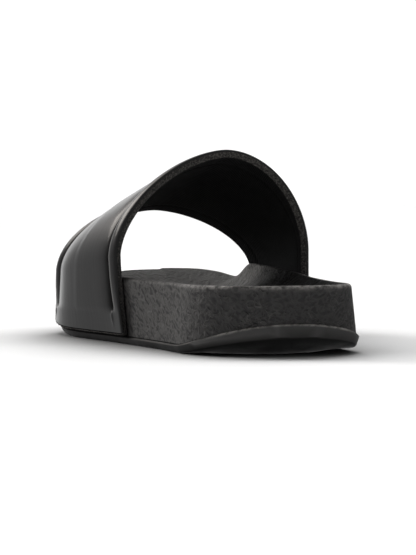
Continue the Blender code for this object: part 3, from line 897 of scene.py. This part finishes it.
class Finish:
    """A material whose nodes are added one after another."""

    def __init__(self, name, colour, roughness, **sockets):
        self.material = bpy.data.materials.new(name)
        self.material.use_nodes = True
        self.tree = self.material.node_tree
        self.shader = self.tree.nodes["Principled BSDF"]
        self.set("Base Color", opaque(colour))
        self.set("Roughness", roughness)
        for socket, value in sockets.items():
            self.set(socket.replace("_", " "), value)

    def set(self, socket, value):
        self.shader.inputs[socket].default_value = value

    def link(self, socket, value):
        self.tree.links.new(value, self.shader.inputs[socket])

    def node(self, kind, links=None, **settings):
        return add_node(self.tree, kind, links, **settings)

    def math(self, operation, a, b=0.0, c=0.0):
        return self.node("ShaderNodeMath", {0: a, 1: b, 2: c}, operation=operation).outputs[0]

    def product(self, first, *others):
        for other in others:
            first = self.math("MULTIPLY", first, other)
        return first

    def coordinates(self, kind="Object", scale=(1, 1, 1), turn=(0, 0, 0)):
        """Coordinates that are turned first and stretched after."""
        source = self.node("ShaderNodeTexCoord").outputs[kind]
        turned = self.node("ShaderNodeMapping", {"Vector": source, "Rotation": turn}).outputs[0]
        return self.node("ShaderNodeMapping", {"Vector": turned, "Scale": scale}).outputs[0]

    def nudged(self, vector, by, amount):
        """Coordinates pushed about by an amount of some noise."""
        return self.node("ShaderNodeVectorMath", {0: by, 1: (amount, amount, amount), 2: vector},
                         operation="MULTIPLY_ADD").outputs[0]

    def split(self, vector):
        """The X, Y and Z of a vector."""
        return self.node("ShaderNodeSeparateXYZ", {0: vector}).outputs

    def facing(self):
        """The X, Y and Z of the way the surface faces."""
        return self.split(self.node("ShaderNodeNewGeometry").outputs["Normal"])

    def kept(self, name):
        """A number kept on the points."""
        return self.node("ShaderNodeAttribute", attribute_name=name).outputs["Fac"]

    def noise(self, vector, scale, detail=3.0, roughness=0.55, output=0):
        links = {"Vector": vector, "Scale": scale, "Detail": detail, "Roughness": roughness}
        return self.node("ShaderNodeTexNoise", links).outputs[output]

    def ridges(self, vector, scale, detail=2.0):
        """Thin winding ridges, 1 on their crests."""
        links = {"Vector": vector, "Scale": scale, "Detail": detail, "Roughness": 0.5,
                 "Lacunarity": 2.1, "Offset": 0.9, "Gain": 1.6}
        return self.node("ShaderNodeTexNoise", links, noise_type="RIDGED_MULTIFRACTAL",
                         normalize=True).outputs[0]

    def ramp(self, value, *stops):
        """A value turned into a tone or a share, by two or more (place, tone) stops."""
        made = self.node("ShaderNodeValToRGB", {0: value})
        elements = made.color_ramp.elements
        for i, (at, tone) in enumerate(stops):
            element = elements[i] if i < 2 else elements.new(at)
            element.position = at
            element.color = opaque(tone)
        return made.outputs[0]

    def blend(self, share, first, second):
        """The first tone where share is 0, the second where it is 1."""
        links = {"Factor": share, 6: first, 7: second}
        return self.node("ShaderNodeMix", links, data_type="RGBA").outputs[2]

    def bump(self, height, distance, strength):
        """Adds one bump on top of the earlier ones."""
        links = {"Height": height, "Distance": distance, "Strength": strength}
        before = self.shader.inputs["Normal"].links
        if before:
            links["Normal"] = before[0].from_socket
        self.link("Normal", self.node("ShaderNodeBump", links).outputs[0])


# %% [markdown]
# The foam's look is three bumps: fine and broad ridges drawn out along the sides, and a pebble
# over them. At the heel the grain calms down and a few deeper wrinkles come in. The top has one even
# grey, which is painted shade. The strap's shadow is painted dark on the inner face of the medial
# wall, and the rim is lightened by scuffs and a painted highlight.

# %% Foam with leather grain
GRAIN_TILT = math.radians(-23)
GRAIN_SCALE = (470.0, 210.0, 690.0)
GRAIN_WARP = 1.3
FINE_SCALE, BROAD_SCALE = 0.9, 0.42
WRINKLE_SCALE, WRINKLE_WARP, WRINKLE_WIDTH = 170.0, 0.012, 0.11
HEEL_FROM, HEEL_FULL = 0.095, 0.125
HEEL_CALM = 0.4
FOAM_LOW, FOAM_HIGH = (0.038, 0.037, 0.0375), (0.08, 0.0775, 0.0755)
# Next: painted shade for the top, a painted strap shadow, and a tone that is partly scuffs, partly a
# painted highlight.
FOAM_TOP_PAINTED_SHADE = (0.052, 0.0505, 0.049)
FOAM_STRAP_SHADOW = 0.009
FOAM_SCUFF_AND_HIGHLIGHT = (0.34, 0.325, 0.31)
STRAP_SHADOW_X, STRAP_SHADOW_Y = (0.008, 0.022), (0.045, 0.058)


def leather_grain_foam():
    """Black foam with a pressed leather grain, wrinkled at the heel, with painted shade on the top, a
    painted strap shadow, and scuffs and a painted highlight along the rim.
    """
    finish = Finish("black_leather_grain_foam", (0.03, 0.029, 0.029), 0.62, Specular_IOR_Level=0.22)
    place = finish.coordinates()
    spot, facing = finish.split(place), finish.facing()
    behind = finish.product(spot["Y"], -1.0)
    warp = finish.noise(place, 220.0, detail=1.0, output="Color")

    drawn_out = finish.coordinates(scale=GRAIN_SCALE, turn=(GRAIN_TILT, 0, 0))
    warped = finish.nudged(drawn_out, warp, GRAIN_WARP)
    fine = finish.ramp(finish.ridges(warped, FINE_SCALE), (0.2, 0.0), (0.9, 1.0))
    broad = finish.ramp(finish.ridges(warped, BROAD_SCALE, detail=1.0), (0.35, 0.0), (0.95, 1.0))
    finish.bump(fine, distance=0.0003, strength=0.85)
    finish.bump(broad, distance=0.00042, strength=0.6)
    finish.bump(finish.noise(place, 1500.0, detail=2.0), distance=0.0001, strength=0.45)
    blotches = finish.noise(place, 45.0, detail=4.0)
    finish.link("Roughness", finish.ramp(blotches, (0.3, 0.55), (0.75, 0.7)))

    cell_links = {"Vector": finish.nudged(place, warp, WRINKLE_WARP), "Scale": WRINKLE_SCALE}
    cells = finish.node("ShaderNodeTexVoronoi", cell_links, feature="DISTANCE_TO_EDGE")
    lines = finish.ramp(cells.outputs["Distance"], (0.0, 1.0), (WRINKLE_WIDTH, 0.0))
    come_and_go = finish.ramp(finish.noise(place, 90.0, detail=2.0), (0.45, 0.0), (0.62, 1.0))
    at_heel = finish.ramp(behind, (HEEL_FROM, 0.0), (HEEL_FULL, 1.0))
    wrinkles = finish.product(lines, come_and_go, at_heel)
    finish.bump(wrinkles, distance=0.0006, strength=0.9)

    calm = finish.product(fine, finish.ramp(behind, (HEEL_FROM, 1.0), (HEEL_FULL, HEEL_CALM)))
    raised = finish.math("MULTIPLY_ADD", wrinkles, 1.1, calm)
    tone = finish.ramp(raised, (0.0, FOAM_LOW), (1.0, FOAM_HIGH))
    # Painted shade: the faces that turn up get one even grey in place of the grain's tones.
    on_top = finish.ramp(facing["Z"], (0.5, 0.0), (0.9, 1.0))
    tone = finish.blend(on_top, tone, opaque(FOAM_TOP_PAINTED_SHADE))

    # Painted shadow of the strap: dark on the inner face of the medial wall, behind the raised step.
    inward = finish.ramp(finish.product(facing["X"], -1.0), (0.03, 0.0), (0.2, 1.0))
    medial = finish.ramp(spot["X"], (STRAP_SHADOW_X[0], 0.0), (STRAP_SHADOW_X[1], 1.0))
    behind_step = finish.ramp(spot["Y"], (STRAP_SHADOW_Y[0], 1.0), (STRAP_SHADOW_Y[1], 0.0))
    strap_shadow = finish.product(inward, medial, behind_step)
    tone = finish.blend(strap_shadow, tone, opaque(FOAM_STRAP_SHADOW))

    # Scuffs and a painted highlight along the rim, mostly at the heel.
    spots = finish.noise(place, 240.0, detail=5.0, roughness=0.7)
    patchy = finish.ramp(spots, (0.38, 0.1), (0.6, 1.0))
    mostly_heel = finish.ramp(behind, (0.085, 0.12), (HEEL_FULL, 1.0))
    scuff_and_highlight = finish.product(finish.kept("rim_wear_and_highlight"), mostly_heel, patchy)
    finish.link("Base Color", finish.blend(scuff_and_highlight, tone, opaque(FOAM_SCUFF_AND_HIGHLIGHT)))
    return finish.material


# %% [markdown]
# The rubber's tone follows the way it faces, as painted light and shade: the lip's side is greyest,
# its top and the underside are dark. A light line runs just under the lip's top round the heel, partly
# scuffs and partly a painted highlight. Near the floor, faces that turn down get little light, so they
# lose their tone and their shine as painted shade.

# %% Rubber
# Below: a light line that is partly scuffs, partly a painted highlight, and tones of painted light and
# shade.
LIP_SCUFF_AND_HIGHLIGHT_HEIGHT = 0.0013
PAINTED_SHADE_HEIGHT = 0.0075
CORNER_FROM, CORNER_FULL = 0.121, 0.131
RUBBER_PAINTED_LIGHT_TONES = [(0.1, 0.010), (0.46, (0.078, 0.076, 0.0745)), (0.62, (0.07, 0.0685, 0.067)),
                (0.76, (0.018, 0.0175, 0.017)), (0.97, 0.008)]
RUBBER_PAINTED_SHADE = 0.004
RUBBER_SCUFF_AND_HIGHLIGHT = (0.3, 0.285, 0.27)
RUBBER_GLOSS, TOP_GLOSS_LESS = 0.5, 0.45


def lip_top(finish, spot):
    """The height of the lip's top at the heel, by the same rule as outsole_top."""
    on_medial = finish.math("GREATER_THAN", spot["X"], SHIFT[0])
    longer = HEEL_RISE_MEDIAL_LENGTH - HEEL_RISE_LATERAL_LENGTH
    rise_length = finish.math("MULTIPLY_ADD", on_medial, longer, HEEL_RISE_LATERAL_LENGTH)
    station = finish.math("SUBTRACT", spot["Y"], sole_low.y)
    left = finish.math("SUBTRACT", 1.0, finish.math("DIVIDE", station, rise_length))
    rise = finish.math("MAXIMUM", left, 0.0)
    return finish.math("MULTIPLY_ADD", finish.product(rise, rise), HEEL_TOP_RISE, OUTSOLE_THICKNESS)


def smooth_rubber():
    """Matt rubber with painted light and shade by the way it faces, darker underneath, and scuffs and a
    painted highlight under the lip round the heel.
    """
    finish = Finish("black_smooth_rubber", (0.022, 0.0215, 0.021), 0.5, Specular_IOR_Level=RUBBER_GLOSS)
    place = finish.coordinates()
    spot, facing = finish.split(place), finish.facing()
    finish.bump(finish.noise(place, 900.0), distance=0.00008, strength=0.35)
    finish.bump(finish.noise(place, 60.0, detail=2.0), distance=0.0004, strength=0.25)
    blotches = finish.noise(place, 90.0, detail=5.0)
    finish.link("Roughness", finish.ramp(blotches, (0.3, 0.44), (0.7, 0.6)))

    # Painted light and shade: the tone follows the way the rubber faces, and turns dark near the floor
    # on faces that turn down.
    turned_up = finish.math("MULTIPLY_ADD", facing["Z"], 0.5, 0.5)
    open_side = finish.ramp(turned_up, (0.36, 0.0), (0.46, 1.0))
    high_up = finish.ramp(finish.product(spot["Z"], 1 / PAINTED_SHADE_HEIGHT), (0.0, 0.25), (1.0, 1.0))
    lit = finish.math("MAXIMUM", high_up, open_side)
    tone = finish.blend(lit, opaque(RUBBER_PAINTED_SHADE), finish.ramp(turned_up, *RUBBER_PAINTED_LIGHT_TONES))

    # Scuffs and a painted highlight just under the lip's top round the heel.
    below_top = finish.math("SUBTRACT", lip_top(finish, spot), spot["Z"])
    near_top = finish.ramp(finish.product(below_top, 1 / LIP_SCUFF_AND_HIGHLIGHT_HEIGHT), (0.45, 1.0), (1.0, 0.0))
    behind = finish.product(spot["Y"], -1.0)
    at_heel = finish.ramp(behind, (CORNER_FROM, 0.0), (CORNER_FULL, 1.0))
    spots = finish.noise(place, 300.0, detail=6.0, roughness=0.75)
    patchy = finish.ramp(spots, (0.4, 0.25), (0.58, 1.0))
    scuff_and_highlight = finish.product(near_top, at_heel, patchy)
    finish.link("Base Color", finish.blend(scuff_and_highlight, tone, opaque(RUBBER_SCUFF_AND_HIGHLIGHT)))

    # Painted shade in the gloss too: less of it on the top away from the heel, and on faces that turn
    # down near the floor.
    on_top = finish.ramp(facing["Z"], (0.6, 0.0), (0.9, 1.0))
    dull_top = finish.product(on_top, finish.math("SUBTRACT", 1.0, at_heel))
    gloss = finish.math("MULTIPLY_ADD", dull_top, -TOP_GLOSS_LESS, RUBBER_GLOSS)
    gloss = finish.product(gloss, lit, finish.ramp(turned_up, (0.15, 0.12), (0.46, 1.0)))
    finish.link("Specular IOR Level", gloss)
    return finish.material


# %% Satin cover
# The second tone is a painted highlight along the rear bead's ridge.
COVER_TONE, RIDGE_HIGHLIGHT_TONE = (0.007, 0.0066, 0.0066), (0.2, 0.195, 0.19)
COVER_GLOSS, COVER_COAT = 0.5, 0.4
STREAK_SCALE = (30.0, 420.0, 1.0)


def satin_cover():
    """Coated fabric: nearly smooth, with faint streaks along the strap and a soft gloss, a painted
    highlight along the rear bead's ridge, and painted shade in the grooves.
    """
    finish = Finish("black_satin_coated_fabric", COVER_TONE, 0.36, Specular_IOR_Level=COVER_GLOSS,
                    Coat_Weight=COVER_COAT, Coat_Roughness=0.12)
    streaks = finish.noise(finish.coordinates("UV", scale=STREAK_SCALE), 1.0)
    finish.bump(streaks, distance=0.00006, strength=0.25)
    finish.bump(finish.noise(finish.coordinates(), 2400.0, detail=1.0), distance=0.00003, strength=0.3)
    finish.link("Roughness", finish.ramp(streaks, (0.3, 0.27), (0.7, 0.33)))
    # Painted highlight: the tone lightens along the rear bead's ridge.
    painted_highlight = finish.kept("weld_ridge_highlight")
    finish.link("Base Color", finish.ramp(painted_highlight, (0.0, COVER_TONE), (1.0, RIDGE_HIGHLIGHT_TONE)))
    # Painted shade: gloss and coat taken away along the grooves.
    glossy = finish.math("SUBTRACT", 1.0, finish.kept("weld_shade"))
    finish.link("Specular IOR Level", finish.product(glossy, COVER_GLOSS))
    finish.link("Coat Weight", finish.product(glossy, COVER_COAT))
    return finish.material


# %% Textiles
STITCH_SCALE, STITCH_TURN = 1500.0, 0.6
EDGE_DARK, EDGE_FLECK = (0.018, 0.017, 0.016), (0.105, 0.098, 0.09)
RIB_SCALE, RIB_TURN = 230.0, 0.9


def flecked_binding():
    """Dark grey-brown textile with lighter flecks, woven in tiny slanted stitches."""
    finish = Finish("flecked_edge_textile", (0.03, 0.028, 0.026), 0.85, Specular_IOR_Level=0.3,
                    Sheen_Weight=0.25, Sheen_Roughness=0.5)
    woven = finish.coordinates("UV", scale=(STITCH_SCALE, STITCH_SCALE, 1.0), turn=(0, 0, STITCH_TURN))
    stitches = finish.node("ShaderNodeTexVoronoi", {"Vector": woven, "Scale": 1.0}).outputs["Distance"]
    flecks = finish.noise(finish.coordinates(), 1300.0, detail=2.0, roughness=0.7)
    finish.bump(stitches, distance=0.00022, strength=0.8)
    finish.bump(flecks, distance=0.0002, strength=0.6)
    finish.link("Base Color", finish.ramp(flecks, (0.42, EDGE_DARK), (0.68, EDGE_FLECK)))
    return finish.material


def knitted_lining():
    """Almost black knit with a fine slanted rib."""
    finish = Finish("black_knit_lining", (0.0055, 0.0055, 0.0058), 0.9, Specular_IOR_Level=0.15,
                    Sheen_Weight=0.02, Sheen_Roughness=0.5)
    rib_links = {"Vector": finish.coordinates("UV", turn=(0, 0, RIB_TURN)), "Scale": RIB_SCALE,
                 "Distortion": 0.8, "Detail": 1.0}
    ribs = finish.node("ShaderNodeTexWave", rib_links).outputs["Fac"]
    finish.bump(ribs, distance=0.00025, strength=0.5)
    finish.bump(finish.noise(finish.coordinates(), 1800.0), distance=0.00015, strength=0.6)
    return finish.material


# %% Give every piece its finish
foam, rubber, satin = leather_grain_foam(), smooth_rubber(), satin_cover()
edge_textile, knit = flecked_binding(), knitted_lining()
for piece, finish_material in ((footbed, foam), (outsole, rubber), (strap_cover, satin),
                               (binding_rear, edge_textile), (binding_front, edge_textile),
                               (strap_lining, knit)):
    piece.data.materials.append(finish_material)
    print(piece.name, "has the finish", finish_material.name)
frayed_thread = Finish("frayed_backing_thread", (0.085, 0.08, 0.075), 0.9, Specular_IOR_Level=0.2)
strap_threads = grown("strap_threads", fray_path(), frayed_edge_tree(), frayed_thread.material)
print("thread faces:", len(strap_threads.data.polygons))

# %% [markdown]
# ## Tying the pieces to the solids
#
# Each piece stands for a solid or rides on the one rigid body; a solid that a piece stands for is
# hidden. The cover and the lining are foam-backed.

for piece, node, slot in ((footbed, "footbed", "footbed"), (outsole, "outsole", "outsole"),
                          (strap_cover, "strap", "strap_cover"), (binding_rear, None, "strap_edge"),
                          (binding_front, None, "strap_edge"), (strap_lining, None, "strap_lining"),
                          (strap_threads, None, "strap_lining")):
    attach(piece, "root")
    if node:
        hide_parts(node)

# %% [markdown]
# ## Floor, light and camera
#
# The light is that of a product picture: a bright backdrop and two far lights ahead of the shoe,
# a softbox ahead on its left, and a darker room behind the camera, which keeps the heel dark. The
# far lights and the floor don't show in reflections. The floor's tone darkens where the shoe hides
# the sky from it, as a soft shadow. The camera stands low behind the heel, a little to the left,
# with a long lens.

# %% Floor
FLOOR_HALF = 60.0
SHADOW_REACH = 0.3
SHADOW_POWER = 3.0
SHADOW_TONE, OPEN_TONE, OPEN_FROM = 0.28, 0.965, 0.93

floor_data = bpy.data.meshes.new("floor")
floor_corners = [(x * FLOOR_HALF, y * FLOOR_HALF, 0) for x, y in ((-1, -1), (1, -1), (1, 1), (-1, 1))]
floor_data.from_pydata(floor_corners, [], [[0, 1, 2, 3]])
floor = in_scene("floor", floor_data)
floor_finish = Finish("pale_floor", 0.93, 0.8, Specular_IOR_Level=0.1)
open_sky = floor_finish.node("ShaderNodeAmbientOcclusion", {"Distance": SHADOW_REACH}, samples=16)
openness = floor_finish.math("POWER", open_sky.outputs["AO"], SHADOW_POWER)
floor_finish.link("Base Color", floor_finish.ramp(openness, (0.0, SHADOW_TONE), (OPEN_FROM, OPEN_TONE)))
floor.data.materials.append(floor_finish.material)
floor.visible_glossy = False

# %% World
BACKDROP_TOWARD = (0.2527, 0.9675, 0.0)
BACKDROP_FROM, BACKDROP_FULL = 0.89, 0.988
ROOM_LEVEL, BACKDROP_LEVEL = 0.21, 1.08

scene = bpy.context.scene
scene.view_settings.view_transform = "Standard"
scene.world = scene.world or bpy.data.worlds.new("studio")
scene.world.use_nodes = True
sky = scene.world.node_tree
sky.nodes.clear()
direction = add_node(sky, "ShaderNodeTexCoord").outputs["Generated"]
toward = add_node(sky, "ShaderNodeVectorMath", {0: direction, 1: BACKDROP_TOWARD},
                  operation="DOT_PRODUCT")
level_links = {"Value": toward.outputs["Value"], "From Min": BACKDROP_FROM, "From Max": BACKDROP_FULL,
               "To Min": ROOM_LEVEL, "To Max": BACKDROP_LEVEL}
sky_level = add_node(sky, "ShaderNodeMapRange", level_links, interpolation_type="SMOOTHSTEP").outputs[0]
surround = add_node(sky, "ShaderNodeBackground", {"Color": opaque(1.0), "Strength": sky_level})
add_node(sky, "ShaderNodeOutputWorld", {0: surround.outputs[0]})
print("room", ROOM_LEVEL, "backdrop", BACKDROP_LEVEL)

# %% Lights


def soft_light(name, place, aim, size, power, colour):
    """A square softbox that faces its aim."""
    data = bpy.data.lights.new(name, "AREA")
    data.shape = "RECTANGLE"
    data.size = data.size_y = size
    data.energy = power
    data.color = colour
    made = in_scene(name, data)
    made.location = place
    made.rotation_euler = (Vector(aim) - Vector(place)).to_track_quat("-Z", "Y").to_euler()


def far_light(name, heading, degrees, energy):
    """A light so far away that it comes from one heading, spread over an angle."""
    data = bpy.data.lights.new(name, "SUN")
    data.energy = energy
    data.angle = math.radians(degrees)
    made = in_scene(name, data)
    made.rotation_euler = Vector(heading).to_track_quat("-Z", "Y").to_euler()
    made.visible_glossy = False


far_light("high_ahead", heading=(-0.25, -0.92, -0.75), degrees=45, energy=3.2)
far_light("side_left", heading=(0.62, -0.86, -0.3), degrees=24, energy=2.7)
soft_light("key_ahead_left", place=(-0.8, 1.55, 1.15), aim=(0, 0, 0.03), size=1.0, power=7.0,
           colour=(1.0, 0.94, 0.89))

# %% Camera
CAMERA_REACH = 1.09755
CAMERA_SIDE = math.radians(15.63)
CAMERA_AIM_STATION = 0.060
CAMERA_HEIGHT = 0.06131
CAMERA_YAW, CAMERA_PITCH, CAMERA_ROLL = (math.radians(v) for v in (14.65, 1.62, -0.24))
CAMERA_LENS = 169.84

ahead = Vector((math.sin(CAMERA_YAW) * math.cos(CAMERA_PITCH),
                math.cos(CAMERA_YAW) * math.cos(CAMERA_PITCH), -math.sin(CAMERA_PITCH)))
level = Vector((math.cos(CAMERA_YAW), -math.sin(CAMERA_YAW), 0))
upright = level.cross(ahead)
right = math.cos(CAMERA_ROLL) * level + math.sin(CAMERA_ROLL) * upright
up = math.cos(CAMERA_ROLL) * upright - math.sin(CAMERA_ROLL) * level
stand = Vector((-CAMERA_REACH * math.sin(CAMERA_SIDE),
                CAMERA_AIM_STATION - CAMERA_REACH * math.cos(CAMERA_SIDE), CAMERA_HEIGHT))
turned = Matrix((right, up, -ahead)).transposed().to_4x4()
turned.translation = stand + Vector(SHIFT)
camera_data = bpy.data.cameras.new("camera")
camera_data.sensor_fit = "VERTICAL"
camera_data.sensor_height = 36.0
camera_data.lens = CAMERA_LENS
camera = in_scene("camera", camera_data)
camera.matrix_world = turned
scene.camera = camera
